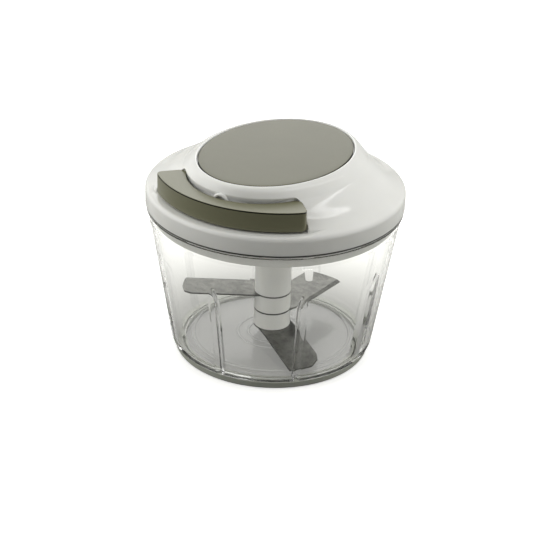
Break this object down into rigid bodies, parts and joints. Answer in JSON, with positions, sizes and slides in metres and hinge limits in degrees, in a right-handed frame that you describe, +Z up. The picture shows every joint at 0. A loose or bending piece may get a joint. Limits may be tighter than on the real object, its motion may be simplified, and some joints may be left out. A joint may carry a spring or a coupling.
{
  "type": "pull-string food chopper",
  "caption": "Pull-cord food chopper: clear tapered bowl with baffles, staggered blades on a central shaft, and a domed lid with a crescent pull handle and a spring reel.",
  "frame": {"origin": "centre of the face that the bowl stands on", "axes": "+Z up; the pull handle lies on the -Y side and is pulled along -Y"},
  "size_m": [0.144, 0.144, 0.1182],
  "materials": {
    "bowl_clear": "clear moulded, polished",
    "shell_white": "glossy moulded",
    "base_white": "satin moulded",
    "shaft_white": "satin moulded",
    "panel_taupe": "fine matt grain",
    "handle_taupe": "satin moulded",
    "seal_rubber": "matt",
    "foot_rubber": "matt",
    "blade_steel": "brushed, ground edge",
    "pin_steel": "turned",
    "spring_steel": "blued strip",
    "screw_steel": "zinc plated",
    "bush_bronze": "sintered",
    "reel_acetal": "natural",
    "hub_acetal": "natural",
    "cord_nylon": "braided"
  },
  "bodies": {
    "bowl": {"bowl": "bowl_clear", "foot_ring": "foot_rubber", "bowl_pin": "pin_steel"},
    "lid": {"lid_shell": "shell_white", "top_panel": "panel_taupe", "lid_seal": "seal_rubber", "lid_base": "base_white", "lid_screws": "screw_steel", "cord_guide": "shell_white", "reel_axle": "pin_steel", "axle_clip": "pin_steel", "mainspring": "spring_steel", "hub_bush": "reel_acetal", "thrust_washer": "pin_steel", "cord_lead": "cord_nylon"},
    "handle": {"handle_grip": "handle_taupe", "handle_cover": "handle_taupe", "handle_screws": "screw_steel", "cord_knot": "cord_nylon"},
    "reel": {"reel_drum": "reel_acetal", "reel_plate": "reel_acetal", "reel_screws": "screw_steel", "cord_winding": "cord_nylon", "pawl_pivots": "pin_steel", "pawl_spring_a": "spring_steel", "pawl_spring_b": "spring_steel"},
    "pawl_a": {"drive_pawl_a": "hub_acetal"},
    "pawl_b": {"drive_pawl_b": "hub_acetal"},
    "drive_hub": {"drive_hub": "hub_acetal", "hub_clip": "pin_steel"},
    "blade_shaft": {"upper_shaft": "shaft_white", "upper_blade": "blade_steel", "middle_spacer": "shaft_white", "middle_blade": "blade_steel", "lower_spacer": "shaft_white", "lower_blade": "blade_steel", "shaft_nut": "shaft_white", "bearing_bush": "bush_bronze"}
  },
  "joints": [
    {"name": "lid_lift", "type": "slide", "parent": "bowl", "child": "lid", "axis": [0, 0, 1], "range_m": [0, 0.1]},
    {"name": "handle_pull", "type": "slide", "parent": "lid", "child": "handle", "axis": [0, -1, 0], "range_m": [0, 0.34], "stiffness_N_per_m": 20, "deforming": ["cord_lead"]},
    {"name": "reel_spin", "type": "hinge", "parent": "lid", "child": "reel", "pos_m": [0, 0, 0.1], "axis": [0, 0, -1], "range_deg": [0, 975], "deforming": ["mainspring"]},
    {"name": "hub_spin", "type": "hinge", "parent": "lid", "child": "drive_hub", "pos_m": [0, 0, 0.09], "axis": [0, 0, -1], "continuous": true},
    {"name": "blade_spin", "type": "hinge", "parent": "bowl", "child": "blade_shaft", "pos_m": [0, 0, 0.02], "axis": [0, 0, -1], "continuous": true},
    {"name": "pawl_a_swing", "type": "hinge", "parent": "reel", "child": "pawl_a", "pos_m": [0.01267, 0.01, 0.095], "axis": [0, 0, -1], "range_deg": [0, 10], "stiffness_Nm_per_rad": 0.002, "deforming": ["pawl_spring_a"]},
    {"name": "pawl_b_swing", "type": "hinge", "parent": "reel", "child": "pawl_b", "pos_m": [-0.01267, -0.01, 0.095], "axis": [0, 0, -1], "range_deg": [0, 10], "stiffness_Nm_per_rad": 0.002, "deforming": ["pawl_spring_b"]}
  ],
  "couplings": [
    {"joint": "reel_spin", "follows": "handle_pull", "rad_per_m": 50},
    {"joint": "hub_spin", "follows": "handle_pull", "rad_per_m": 50},
    {"joint": "blade_spin", "follows": "handle_pull", "rad_per_m": 50},
    {"joint": "pawl_b_swing", "follows": "pawl_a_swing", "ratio": 1}
  ]
}
